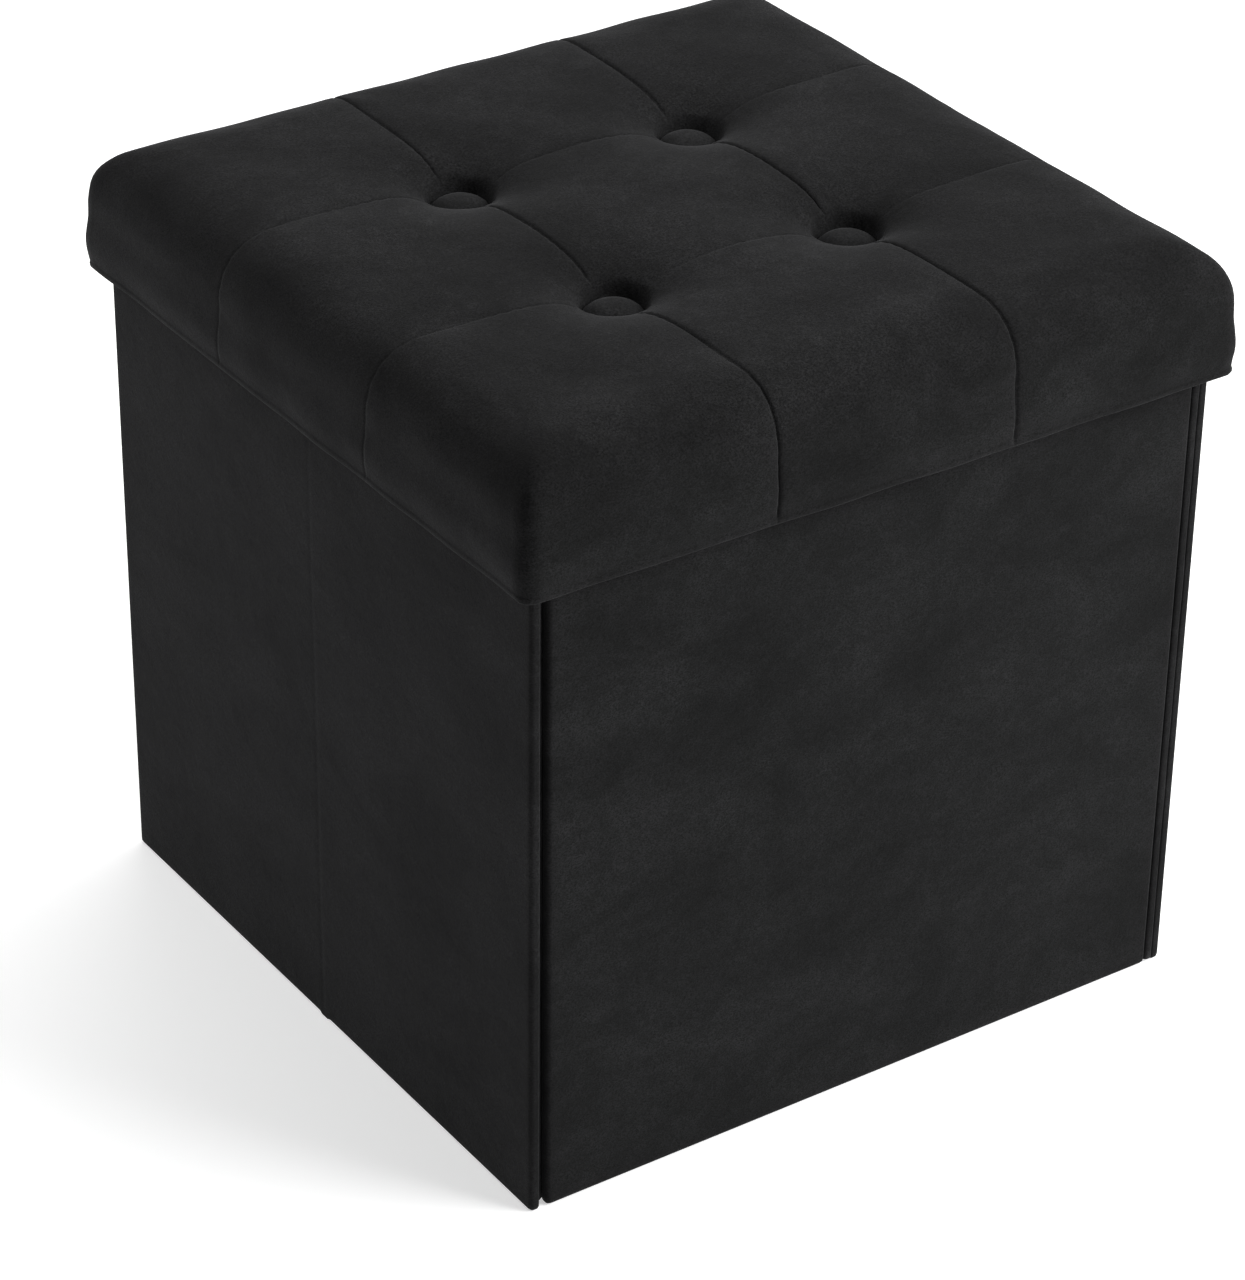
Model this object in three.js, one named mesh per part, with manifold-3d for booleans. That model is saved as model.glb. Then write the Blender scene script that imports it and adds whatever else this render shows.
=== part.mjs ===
// A folding storage ottoman: a cube of six hinged wall panels covered in velvet, a loose
// base board, and a padded lid that lifts off, tufted with four covered buttons.
// Millimetres, +Z up, with the origin on the floor under the middle of the box. The front
// panel faces -Y. The side walls, at -X and +X, each fold inwards down their middle.

import * as THREE from "three";
import { mergeVertices } from "three/addons/utils/BufferGeometryUtils.js";
import Module from "manifold-3d";

const wasm = await Module();
wasm.setup();

// ---- Driving dimensions ----

const bodyWidth = 360; // outside, over the two side walls
const bodyDepth = 355; // outside, front panel to back panel
const wallHeight = 340; // floor to the top edge of the walls
const seat = 0.3; // gap between two pieces that rest on each other

// Wall panels
const wallBoard = 3; // fibreboard
const wallVelvet = 1.4; // velvet around the board
const liningSheet = 0.5; // non-woven lining
const hingeClearance = 1.6; // from a corner hinge's axis to the faces beside it
const hingeStrip = 1.6; // side of the square strip sewn down each corner
const creaseGap = 5; // between the two boards of a side wall
const creaseStrip = 1.6; // side of the square strip sewn down the crease

// Base board
const baseBoard = 2.5;
const baseFabric = 0.4;
const baseClearance = 6; // from the base's edge to the lined walls
const ribbonWidth = 25;
const ribbonLength = 60;
const ribbonThickness = 1;
const ribbonInset = 30; // from the base's front edge to the ribbon's end

// Lid
const lidClearance = 2; // from the walls to the lid's lined skirt
const skirtDrop = 22.5; // how far the lid's hem hangs below the top of the walls
const skirtBoard = 3;
const lidBoard = 5;
const foamThickness = 29.6;
const lidVelvet = 1.9;
const crownRadius = 28; // rounding along the lid's top edges
const lidCorner = 12; // rounding of the lid's upright corners

// Tufting
const cellsAcross = 3; // puffed cells along each side of the lid
const buttonRadius = 13.5;
const buttonRim = 3; // straight side of a button under its dome
const buttonDome = 5;
const dimpleDepth = 21; // from the lid's crown to the fabric under a button
const dimpleRadius = 44;
const twineRadius = 0.8;
const twineHole = 1.3; // radius of the holes the twine runs through
const washerRadius = 9;
const washerThickness = 1.5;

// Smoothness of the curved faces
const cornerSteps = 5;
const crownSteps = 5;
const turnSteps = 24;
const dimpleSteps = 4;
const domeSteps = 4;

// ---- Sizes that follow ----

const wallThickness = wallVelvet + seat + wallBoard + seat + liningSheet;
const endPanelWidth = bodyWidth - 2 * (wallThickness + 2 * hingeClearance);
const sidePanelWidth = (bodyDepth - creaseGap) / 2;
const hingeX = bodyWidth / 2 - wallThickness - hingeClearance;
const hingeY = bodyDepth / 2 - wallThickness;

const skirtThickness = liningSheet + seat + skirtBoard + seat + lidVelvet;
const lidWidth = bodyWidth + 2 * (lidClearance + skirtThickness);
const lidDepth = bodyDepth + 2 * (lidClearance + skirtThickness);

const hemZ = wallHeight - skirtDrop;
const skirtBoardZ = hemZ + lidVelvet + seat;
const lidLiningZ = wallHeight + seat;
const washerZ = lidLiningZ + liningSheet + seat;
const lidBoardZ = washerZ + washerThickness + seat;
const foamZ = lidBoardZ + lidBoard + seat;
const foamTopZ = foamZ + foamThickness;
const crownZ = foamTopZ + seat + lidVelvet;
const dimpleZ = crownZ - dimpleDepth;

// ---- Materials ----

const blackVelvet = new THREE.MeshStandardMaterial({ color: 0x0b0b0c, roughness: 0.9, metalness: 0 });
const blackLining = new THREE.MeshStandardMaterial({ color: 0x17171a, roughness: 0.95, metalness: 0 });
const fibreboard = new THREE.MeshStandardMaterial({ color: 0x8a6a47, roughness: 0.85, metalness: 0 });
const foam = new THREE.MeshStandardMaterial({ color: 0xe6dcb4, roughness: 0.9, metalness: 0 });
const twine = new THREE.MeshStandardMaterial({ color: 0xd8d4c8, roughness: 0.7, metalness: 0 });
const blackPlastic = new THREE.MeshStandardMaterial({ color: 0x1b1b1d, roughness: 0.5, metalness: 0 });

// ---- Shape helpers ----

// A closed solid from a geometry, for cutting and joining.
function solidOf(geometry) {
  const bare = geometry.clone();
  bare.deleteAttribute("normal");
  bare.deleteAttribute("uv");
  const merged = mergeVertices(bare);
  const index = merged.getIndex().array;
  const triangles = [];
  for (let i = 0; i < index.length; i += 3) {
    const [a, b, c] = [index[i], index[i + 1], index[i + 2]];
    if (a !== b && b !== c && c !== a) {
      triangles.push(a, b, c);
    }
  }
  const vertProperties = new Float32Array(merged.getAttribute("position").array);
  const triVerts = new Uint32Array(triangles);
  return new wasm.Manifold(new wasm.Mesh({ numProp: 3, vertProperties, triVerts }));
}

// The geometry of a solid after its cuts.
function geometryOf(solid) {
  const mesh = solid.getMesh();
  const geometry = new THREE.BufferGeometry();
  geometry.setAttribute("position", new THREE.BufferAttribute(mesh.vertProperties, 3));
  geometry.setIndex(new THREE.BufferAttribute(mesh.triVerts, 1));
  geometry.computeVertexNormals();
  return geometry;
}

// A box centred on x = 0 and y = 0, from `low` to `high` along Z.
function block(width, depth, low, high) {
  const geometry = new THREE.BoxGeometry(width, depth, high - low);
  geometry.translate(0, 0, (low + high) / 2);
  return geometry;
}

// An upright prism with rounded corners, centred on x = 0 and y = 0.
function roundedPrism(width, depth, radius, low, high) {
  const x = width / 2;
  const y = depth / 2;
  const outline = new THREE.Shape();
  outline.moveTo(-x + radius, -y);
  outline.lineTo(x - radius, -y);
  outline.absarc(x - radius, -y + radius, radius, -Math.PI / 2, 0);
  outline.lineTo(x, y - radius);
  outline.absarc(x - radius, y - radius, radius, 0, Math.PI / 2);
  outline.lineTo(-x + radius, y);
  outline.absarc(-x + radius, y - radius, radius, Math.PI / 2, Math.PI);
  outline.lineTo(-x, -y + radius);
  outline.absarc(-x + radius, -y + radius, radius, Math.PI, Math.PI * 1.5);
  const options = { depth: high - low, bevelEnabled: false, curveSegments: cornerSteps };
  const geometry = new THREE.ExtrudeGeometry(outline, options);
  geometry.translate(0, 0, low);
  return geometry;
}

// A prism whose top edges are rounded over, as a padded top is. `inset` moves every
// outer face inwards, and the roundings shrink with it.
function crownedPrism(inset, low) {
  const width = lidWidth - 2 * inset;
  const depth = lidDepth - 2 * inset;
  const top = crownZ - inset;
  const radius = crownRadius - inset;
  const flat = new THREE.Shape();
  flat.moveTo(-width / 2 + radius, -depth / 2 + radius);
  flat.lineTo(width / 2 - radius, -depth / 2 + radius);
  flat.lineTo(width / 2 - radius, depth / 2 - radius);
  flat.lineTo(-width / 2 + radius, depth / 2 - radius);
  const height = 2 * (crownZ - hemZ);
  const padded = new THREE.ExtrudeGeometry(flat, {
    depth: height - 2 * radius,
    bevelThickness: radius,
    bevelSize: radius,
    bevelSegments: crownSteps,
  });
  padded.translate(0, 0, top - height + radius);
  const upright = roundedPrism(width, depth, lidCorner - inset, low, top + 1);
  return solidOf(padded).intersect(solidOf(upright));
}

// A turned solid about the Z axis, from a profile of [radius, z] points.
function turned(profile, steps = turnSteps) {
  const points = profile.map(([radius, z]) => new THREE.Vector2(radius, z));
  const geometry = new THREE.LatheGeometry(points, steps);
  geometry.rotateX(Math.PI / 2);
  return geometry;
}

// The funnel that a button pulls into the pad, `margin` wider all round.
function dimple(margin) {
  const floorRadius = buttonRadius + 1 + margin;
  const floorZ = dimpleZ - margin;
  const rimRadius = dimpleRadius + margin;
  const above = crownZ + 1;
  const profile = [[0, floorZ], [floorRadius, floorZ]];
  for (let step = 1; step <= dimpleSteps; step += 1) {
    const share = step / dimpleSteps;
    const rise = 1 - (1 - share) ** 2;
    profile.push([floorRadius + (rimRadius - floorRadius) * share, floorZ + (above - floorZ) * rise]);
  }
  profile.push([0, above]);
  return solidOf(turned(profile));
}

// The four points where the seams between the lid's cells cross.
function seamCrossings() {
  const crossings = [];
  for (const [row, y] of [["front", -1], ["rear", 1]]) {
    for (const [side, x] of [["left", -1], ["right", 1]]) {
      const place = [x * lidWidth / cellsAcross / 2, y * lidDepth / cellsAcross / 2];
      crossings.push({ name: `${row}_${side}`, x: place[0], y: place[1] });
    }
  }
  return crossings;
}

// `solid` with `tool` cut out of it at every seam crossing.
function cutAtCrossings(solid, tool) {
  let result = solid;
  for (const { x, y } of seamCrossings()) {
    result = result.subtract(tool.translate([x, y, 0]));
  }
  return result;
}

function cylinderSolid(radius, low, high, steps = turnSteps) {
  const geometry = new THREE.CylinderGeometry(radius, radius, high - low, steps);
  geometry.rotateX(Math.PI / 2);
  geometry.translate(0, 0, (low + high) / 2);
  return solidOf(geometry);
}

function addMesh(group, name, geometry, material) {
  const mesh = new THREE.Mesh(geometry, material);
  mesh.name = name;
  group.add(mesh);
  return mesh;
}

// ---- Walls ----

// A wall panel standing on the floor, seen from outside along +Y. Its outer face is at
// y = 0. The velvet is a tray around the board, and the lining closes it on the inside.
function wallPanel(name, width) {
  const panel = new THREE.Group();
  const trayDepth = wallVelvet + seat + wallBoard;

  const tray = block(width, trayDepth, 0, wallHeight);
  tray.translate(0, trayDepth / 2, 0);
  const pocket = block(width - 2 * wallVelvet, trayDepth, wallVelvet, wallHeight - wallVelvet);
  pocket.translate(0, wallVelvet + trayDepth / 2, 0);
  const cover = solidOf(tray).subtract(solidOf(pocket));
  addMesh(panel, `${name}_cover`, geometryOf(cover), blackVelvet);

  const edge = wallVelvet + seat;
  const board = block(width - 2 * edge, wallBoard, edge, wallHeight - edge);
  board.translate(0, edge + wallBoard / 2, 0);
  addMesh(panel, `${name}_board`, board, fibreboard);

  const sheet = block(width - 2 * wallVelvet, liningSheet, wallVelvet, wallHeight - wallVelvet);
  sheet.translate(0, wallThickness - liningSheet / 2, 0);
  addMesh(panel, `${name}_lining`, sheet, blackLining);
  return panel;
}

// The front and back panels stand between the side walls.
function endWalls() {
  const walls = new THREE.Group();
  const front = wallPanel("front", endPanelWidth);
  front.position.y = -bodyDepth / 2;
  const back = wallPanel("back", endPanelWidth);
  back.position.y = bodyDepth / 2;
  back.rotation.z = Math.PI;
  walls.add(front, back);
  return walls;
}

// Each side wall is two panels, which cover the ends of the front and back panels.
function sideWalls() {
  const walls = new THREE.Group();
  for (const [side, x] of [["left", -1], ["right", 1]]) {
    for (const [end, y] of [["front", -1], ["rear", 1]]) {
      const half = wallPanel(`${side}_${end}`, sidePanelWidth);
      half.position.set(x * bodyWidth / 2, y * (creaseGap + sidePanelWidth) / 2, 0);
      half.rotation.z = x * Math.PI / 2;
      walls.add(half);
    }
  }
  return walls;
}

// The fabric hinges: a strip down each corner, on its hinge axis, and one down the middle
// of each side wall, between the two boards.
function hingeStrips() {
  const strips = new THREE.Group();
  const low = wallVelvet;
  const high = wallHeight - wallVelvet;
  for (const [side, x] of [["left", -1], ["right", 1]]) {
    for (const [end, y] of [["front", -1], ["rear", 1]]) {
      const corner = block(hingeStrip, hingeStrip, low, high);
      const strip = addMesh(strips, `${side}_${end}_hinge_strip`, corner, blackVelvet);
      strip.position.set(x * hingeX, y * hingeY, 0);
    }
    const middle = block(creaseStrip, creaseStrip, low, high);
    const crease = addMesh(strips, `${side}_crease_strip`, middle, blackVelvet);
    crease.position.x = x * (bodyWidth - creaseStrip) / 2;
  }
  return strips;
}

// ---- Base board ----

// The base lies loose on the floor between the walls: a board in a non-woven pocket that
// is open along its back edge, and a ribbon to lift it out by.
function base() {
  const group = new THREE.Group();
  const width = bodyWidth - 2 * (wallThickness + baseClearance);
  const depth = bodyDepth - 2 * (wallThickness + baseClearance);
  const thickness = baseBoard + 2 * (baseFabric + seat);

  const envelope = block(width, depth, 0, thickness);
  const inside = block(width - 2 * baseFabric, depth, baseFabric, thickness - baseFabric);
  inside.translate(0, baseFabric, 0);
  const cover = solidOf(envelope).subtract(solidOf(inside));
  addMesh(group, "base_cover", geometryOf(cover), blackLining);

  const edge = baseFabric + seat;
  const board = block(width - 2 * edge, depth - 2 * edge, edge, edge + baseBoard);
  addMesh(group, "base_board", board, fibreboard);

  const ribbonLow = thickness + seat;
  const strap = roundedPrism(ribbonWidth, ribbonLength, ribbonWidth / 4, ribbonLow, ribbonLow + ribbonThickness);
  const ribbon = addMesh(group, "pull_ribbon", strap, blackLining);
  ribbon.position.y = -depth / 2 + ribbonInset + ribbonLength / 2;
  return group;
}

// ---- Lid ----

// The lid's board, on a frame of four skirt boards. Their outer corners are rounded to
// follow the cover.
function lidFrame() {
  const frame = new THREE.Group();
  const inset = lidVelvet + seat;
  const width = lidWidth - 2 * inset;
  const depth = lidDepth - 2 * inset;

  const slab = solidOf(block(width, depth, lidBoardZ, lidBoardZ + lidBoard));
  const plate = slab.intersect(crownedPrism(inset, lidBoardZ));
  const hole = cylinderSolid(twineHole, lidBoardZ - 1, lidBoardZ + lidBoard + 1, turnSteps / 2);
  addMesh(frame, "lid_board", geometryOf(cutAtCrossings(plate, hole)), fibreboard);

  const skirtTop = lidBoardZ - seat;
  const outline = crownedPrism(inset, skirtBoardZ);
  const sideLength = depth - 2 * (skirtBoard + seat);
  const skirts = [
    ["front", width, skirtBoard, 0, -(depth - skirtBoard) / 2],
    ["back", width, skirtBoard, 0, (depth - skirtBoard) / 2],
    ["left", skirtBoard, sideLength, -(width - skirtBoard) / 2, 0],
    ["right", skirtBoard, sideLength, (width - skirtBoard) / 2, 0],
  ];
  for (const [name, across, along, x, y] of skirts) {
    const rail = block(across, along, skirtBoardZ, skirtTop);
    rail.translate(x, y, 0);
    addMesh(frame, `lid_skirt_${name}`, geometryOf(solidOf(rail).intersect(outline)), fibreboard);
  }
  return frame;
}

// The foam pad on the board, pulled in under each button.
function lidPad() {
  const inset = lidVelvet + seat;
  const pad = crownedPrism(inset, foamZ);
  const dimpled = cutAtCrossings(pad, dimple(inset));
  const hole = cylinderSolid(twineHole, foamZ - 1, dimpleZ, turnSteps / 2);
  return geometryOf(cutAtCrossings(dimpled, hole));
}

// The velvet over pad and skirt. Its hem turns in under the skirt boards.
function lidCover() {
  const outer = cutAtCrossings(crownedPrism(0, hemZ), dimple(0));
  const inner = cutAtCrossings(crownedPrism(lidVelvet, hemZ + lidVelvet), dimple(lidVelvet));
  const mouthWidth = bodyWidth + 2 * lidClearance;
  const mouthDepth = bodyDepth + 2 * lidClearance;
  const mouth = solidOf(block(mouthWidth, mouthDepth, hemZ - 1, hemZ + lidVelvet + 1));
  const hole = cylinderSolid(twineHole, dimpleZ - lidVelvet - 1, dimpleZ + 1, turnSteps / 2);
  return geometryOf(cutAtCrossings(outer.subtract(inner).subtract(mouth), hole));
}

// The lining of the lid's hollow: a sheet under the board and four sides up the skirt.
function lidLining() {
  const mouthWidth = bodyWidth + 2 * lidClearance;
  const mouthDepth = bodyDepth + 2 * lidClearance;
  const top = lidLiningZ + liningSheet;
  const tray = block(mouthWidth + 2 * liningSheet, mouthDepth + 2 * liningSheet, skirtBoardZ, top);
  const hollow = block(mouthWidth, mouthDepth, skirtBoardZ - 1, lidLiningZ);
  return geometryOf(solidOf(tray).subtract(solidOf(hollow)));
}

// A domed button in its dimple, the twine that holds it down, and the washer that the
// twine is tied to under the board.
function tuft(name) {
  const group = new THREE.Group();
  const low = dimpleZ + seat;
  const profile = [[0, low], [buttonRadius, low]];
  for (let step = 0; step <= domeSteps; step += 1) {
    const angle = (step / domeSteps) * Math.PI / 2;
    profile.push([buttonRadius * Math.cos(angle), low + buttonRim + buttonDome * Math.sin(angle)]);
  }
  profile[profile.length - 1][0] = 0;
  addMesh(group, `button_${name}`, turned(profile), blackVelvet);

  const cord = geometryOf(cylinderSolid(twineRadius, lidBoardZ, low - seat, turnSteps / 3));
  addMesh(group, `twine_${name}`, cord, twine);

  const disc = geometryOf(cylinderSolid(washerRadius, washerZ, washerZ + washerThickness));
  addMesh(group, `washer_${name}`, disc, blackPlastic);
  return group;
}

function lid() {
  const group = new THREE.Group();
  group.add(lidFrame());
  addMesh(group, "lid_foam", lidPad(), foam);
  addMesh(group, "lid_cover", lidCover(), blackVelvet);
  addMesh(group, "lid_lining", lidLining(), blackLining);
  for (const { name, x, y } of seamCrossings()) {
    const button = tuft(name);
    button.position.set(x, y, 0);
    group.add(button);
  }
  return group;
}

const ottoman = new THREE.Group();
ottoman.add(base(), endWalls(), sideWalls(), hingeStrips(), lid());

export default ottoman;
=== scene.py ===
"""A folding storage ottoman in black velvet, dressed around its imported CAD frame.

Metres, +Z up. The front panel faces -Y and the side walls are at -X and +X. Soft pieces
are built from grids that continue over their edges in rings, then shaped and given a
second skin. The lid's velvet is also inflated by a short cloth simulation.
"""

import math

import bpy
import numpy as np
from mathutils import Matrix, Vector


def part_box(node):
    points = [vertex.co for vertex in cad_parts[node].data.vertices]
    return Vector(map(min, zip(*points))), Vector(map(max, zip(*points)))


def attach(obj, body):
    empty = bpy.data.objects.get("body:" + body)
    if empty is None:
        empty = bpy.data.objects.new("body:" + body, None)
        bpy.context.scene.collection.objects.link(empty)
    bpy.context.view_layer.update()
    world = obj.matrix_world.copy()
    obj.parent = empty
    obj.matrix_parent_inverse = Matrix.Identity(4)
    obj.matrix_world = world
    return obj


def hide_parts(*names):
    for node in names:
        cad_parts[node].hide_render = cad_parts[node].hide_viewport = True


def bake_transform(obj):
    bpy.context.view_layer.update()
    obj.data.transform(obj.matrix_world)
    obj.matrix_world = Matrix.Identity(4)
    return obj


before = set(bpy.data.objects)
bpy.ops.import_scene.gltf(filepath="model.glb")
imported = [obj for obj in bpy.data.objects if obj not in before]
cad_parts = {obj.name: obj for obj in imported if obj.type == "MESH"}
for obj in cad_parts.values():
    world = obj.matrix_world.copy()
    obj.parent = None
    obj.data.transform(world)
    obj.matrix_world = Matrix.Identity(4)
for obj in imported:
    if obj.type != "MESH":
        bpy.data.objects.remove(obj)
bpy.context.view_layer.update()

MM = 0.001

# ---- Sizes from the frame ----

lid_low, lid_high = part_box("lid_cover")
foam_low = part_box("lid_foam")[0]
lining_low, lining_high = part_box("lid_lining")
front_low, front_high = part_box("front_cover")
left_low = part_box("left_front_cover")[0]
rear_low, rear_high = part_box("left_rear_cover")
base_low, base_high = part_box("base_cover")
ribbon_low, ribbon_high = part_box("pull_ribbon")

BUTTONS = ("front_left", "front_right", "rear_left", "rear_right")
button_boxes = {name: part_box(f"button_{name}") for name in BUTTONS}
button_low, button_high = button_boxes["front_right"]
button_radius = (button_high.x - button_low.x) / 2
seam_x = (button_high.x + button_low.x) / 2
seam_y = -(button_high.y + button_low.y) / 2

lid_half_x = lid_high.x
lid_half_y = lid_high.y
crown_z = lid_high.z
lid_height = lid_high.z - lid_low.z
BUTTON_LIFT = 1.4 * MM  # the pad pushes a button up from where the rigid frame has it
PIT_CLEARANCE = 0.4 * MM  # from the cover at the bottom of a dimple to the button's back
pit_depth = crown_z - button_low.z - BUTTON_LIFT + PIT_CLEARANCE
panel_depth = front_high.y - front_low.y
wall_height = front_high.z

# ---- Camera, floor and lights ----

CAMERA_AZIMUTH = math.radians(-34.78)
CAMERA_ELEVATION = math.radians(31.05)
CAMERA_ROLL = math.radians(0.92)
CAMERA_DISTANCE = 2.1546
CAMERA_TARGET_Z = 0.1472
FOCAL_OVER_HEIGHT = 3.5669  # focal length over the image's height
SENSOR = 36.0
CAMERA_SHIFT_X = -0.01775
SKY_LIGHT = 0.12
FAR_BRIGHTNESS = 0.6  # the sky that the camera sees is as bright as the far floor
FLOOR_COLOUR = (0.8, 0.8, 0.8, 1)
FLOOR_GLOW = 0.5
FLOOR_SIZE = 12


def direction(azimuth, elevation):
    """The unit vector from the object towards an azimuth, from the front, and elevation."""
    return Vector((
        math.sin(azimuth) * math.cos(elevation),
        -math.cos(azimuth) * math.cos(elevation),
        math.sin(elevation),
    ))


def add_camera():
    """The camera at the photograph's viewing angle."""
    back = direction(CAMERA_AZIMUTH, CAMERA_ELEVATION)
    right = (-back).cross(Vector((0, 0, 1))).normalized()
    up = right.cross(-back)
    rolled_right = right * math.cos(CAMERA_ROLL) + up * math.sin(CAMERA_ROLL)
    rolled_up = up * math.cos(CAMERA_ROLL) - right * math.sin(CAMERA_ROLL)
    data = bpy.data.cameras.new("camera")
    data.sensor_fit = "VERTICAL"
    data.sensor_height = SENSOR
    data.lens = FOCAL_OVER_HEIGHT * SENSOR
    data.shift_x = CAMERA_SHIFT_X
    camera = bpy.data.objects.new("camera", data)
    bpy.context.scene.collection.objects.link(camera)
    turn = Matrix((rolled_right, rolled_up, back)).transposed().to_4x4()
    place = Vector((0, 0, CAMERA_TARGET_Z)) + back * CAMERA_DISTANCE
    camera.matrix_world = Matrix.Translation(place) @ turn
    bpy.context.scene.camera = camera


def add_area_light(name, azimuth, elevation, distance, size, power):
    """A square soft box that looks at the middle of the object."""
    data = bpy.data.lights.new(name, "AREA")
    data.shape = "SQUARE"
    data.size = size
    data.energy = power
    light = bpy.data.objects.new(name, data)
    bpy.context.scene.collection.objects.link(light)
    place = direction(math.radians(azimuth), math.radians(elevation))
    light.location = place * distance + Vector((0, 0, wall_height / 2))
    light.rotation_euler = place.to_track_quat("Z", "Y").to_euler()


def add_studio():
    """A pale floor, a dim even sky, and three soft boxes."""
    world = bpy.data.worlds.new("studio")
    bpy.context.scene.world = world
    world.use_nodes = True
    tree = world.node_tree
    background = tree.nodes["Background"]
    background.inputs["Color"].default_value = (1, 1, 1, 1)
    rays = tree.nodes.new("ShaderNodeLightPath")
    strength = tree.nodes.new("ShaderNodeMapRange")
    strength.inputs["To Min"].default_value = SKY_LIGHT
    strength.inputs["To Max"].default_value = FAR_BRIGHTNESS
    tree.links.new(rays.outputs["Is Camera Ray"], strength.inputs["Value"])
    tree.links.new(strength.outputs["Result"], background.inputs["Strength"])
    add_area_light("top_light", 130, 64, 2.4, 2.0, 38)
    add_area_light("key_light", 44, 34, 2.2, 1.5, 70)
    add_area_light("rear_light", -140, 34, 1.1, 0.7, 4.2)

    material = bpy.data.materials.new("pale_floor")
    material.use_nodes = True
    shader = material.node_tree.nodes["Principled BSDF"]
    shader.inputs["Base Color"].default_value = FLOOR_COLOUR
    shader.inputs["Roughness"].default_value = 0.8
    shader.inputs["Emission Color"].default_value = (1, 1, 1, 1)
    shader.inputs["Emission Strength"].default_value = FLOOR_GLOW
    bpy.ops.mesh.primitive_plane_add(size=FLOOR_SIZE)
    floor = bpy.context.object
    floor.name = "floor"
    floor.data.materials.append(material)
    bpy.context.scene.view_settings.view_transform = "Standard"


# ---- Materials ----

# The colour sockets of a Mix node
MIX_FIRST, MIX_SECOND, MIX_RESULT = 6, 7, 2


class Nodes:
    """A material's node tree, with short ways to add and join nodes."""

    def __init__(self, name):
        self.material = bpy.data.materials.new(name)
        self.material.use_nodes = True
        self.tree = self.material.node_tree
        self.shader = self.tree.nodes["Principled BSDF"]
        self.place = self.add("ShaderNodeTexCoord").outputs["Object"]

    def add(self, kind, inputs=None, **values):
        """A new node. Each input is a value, or the socket that it comes from."""
        node = self.tree.nodes.new(kind)
        for key, value in values.items():
            setattr(node, key, value)
        for key, value in (inputs or {}).items():
            self.put(value, node.inputs[key])
        return node

    def put(self, value, socket):
        if isinstance(value, bpy.types.NodeSocket):
            self.tree.links.new(value, socket)
        else:
            socket.default_value = value

    def stretched(self, scale, turn=(0, 0, 0)):
        """The object's coordinates, scaled along each axis."""
        inputs = {"Scale": scale, "Rotation": turn, "Vector": self.place}
        return self.add("ShaderNodeMapping", inputs).outputs["Vector"]

    def noise(self, scale, detail=4.0, roughness=0.55, place=None, distortion=0.0):
        inputs = {"Scale": scale, "Detail": detail, "Roughness": roughness,
                  "Distortion": distortion, "Vector": place or self.place}
        return self.add("ShaderNodeTexNoise", inputs).outputs["Fac"]

    def cells(self, scale, randomness=1.0):
        inputs = {"Scale": scale, "Randomness": randomness, "Vector": self.place}
        return self.add("ShaderNodeTexVoronoi", inputs).outputs["Distance"]

    def twill(self, scale, distortion):
        """Slanting ribs, as in woven ribbon or twisted strands."""
        inputs = {"Scale": scale, "Distortion": distortion, "Vector": self.place}
        node = self.add("ShaderNodeTexWave", inputs, wave_type="BANDS", bands_direction="DIAGONAL")
        return node.outputs["Fac"]

    def ramp(self, source, stops):
        """A colour ramp of (position, colour) stops."""
        node = self.add("ShaderNodeValToRGB", {"Fac": source})
        elements = node.color_ramp.elements
        while len(elements) < len(stops):
            elements.new(0.5)
        for element, (position, colour) in zip(elements, stops):
            element.position = position
            element.color = (*colour, 1)
        return node.outputs["Color"]

    def spread(self, source, low, high, start=0.3, stop=0.7):
        """The source's range start to stop, mapped to low to high."""
        inputs = {"Value": source, "From Min": start, "From Max": stop, "To Min": low, "To Max": high}
        return self.add("ShaderNodeMapRange", inputs).outputs["Result"]

    def times(self, first, second):
        node = self.add("ShaderNodeMath", {0: first, 1: second}, operation="MULTIPLY")
        return node.outputs["Value"]

    def tinted(self, colour, factor):
        """A colour, fixed or from a socket, made lighter or darker by a factor."""
        if isinstance(colour, tuple):
            colour = (*colour, 1)
        inputs = {"Factor": 1.0, MIX_FIRST: colour, MIX_SECOND: factor}
        node = self.add("ShaderNodeMix", inputs, data_type="RGBA", blend_type="MULTIPLY")
        return node.outputs[MIX_RESULT]

    def bump(self, height, strength, distance, below=None):
        inputs = {"Height": height, "Strength": strength, "Distance": distance}
        if below is not None:
            inputs["Normal"] = below
        return self.add("ShaderNodeBump", inputs).outputs["Normal"]

    def finished(self, colour, roughness, normal, **values):
        """Joins the colour, roughness and bump to the shader, and returns the material."""
        values |= {"Base_Color": colour, "Roughness": roughness, "Normal": normal}
        for key, value in values.items():
            self.put(value, self.shader.inputs[key.replace("_", " ")])
        return self.material


VELVET_BLACK = (0.0060, 0.0060, 0.0062)
LINING_BLACK = (0.020, 0.020, 0.022)
RIBBON_BLACK = (0.022, 0.022, 0.023)
TWINE_CREAM = (0.62, 0.58, 0.48)
PLASTIC_BLACK = (0.018, 0.018, 0.019)
STEEL_GREY = (0.55, 0.55, 0.56)
THREAD_BLACK = (0.030, 0.030, 0.032)
BOARD_TONES = [(0.3, (0.17, 0.10, 0.055)), (0.55, (0.26, 0.165, 0.09)), (0.75, (0.34, 0.23, 0.13))]
FOAM_TONES = [(0.15, (0.42, 0.35, 0.19)), (0.5, (0.72, 0.64, 0.40)), (0.8, (0.80, 0.73, 0.50))]


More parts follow.
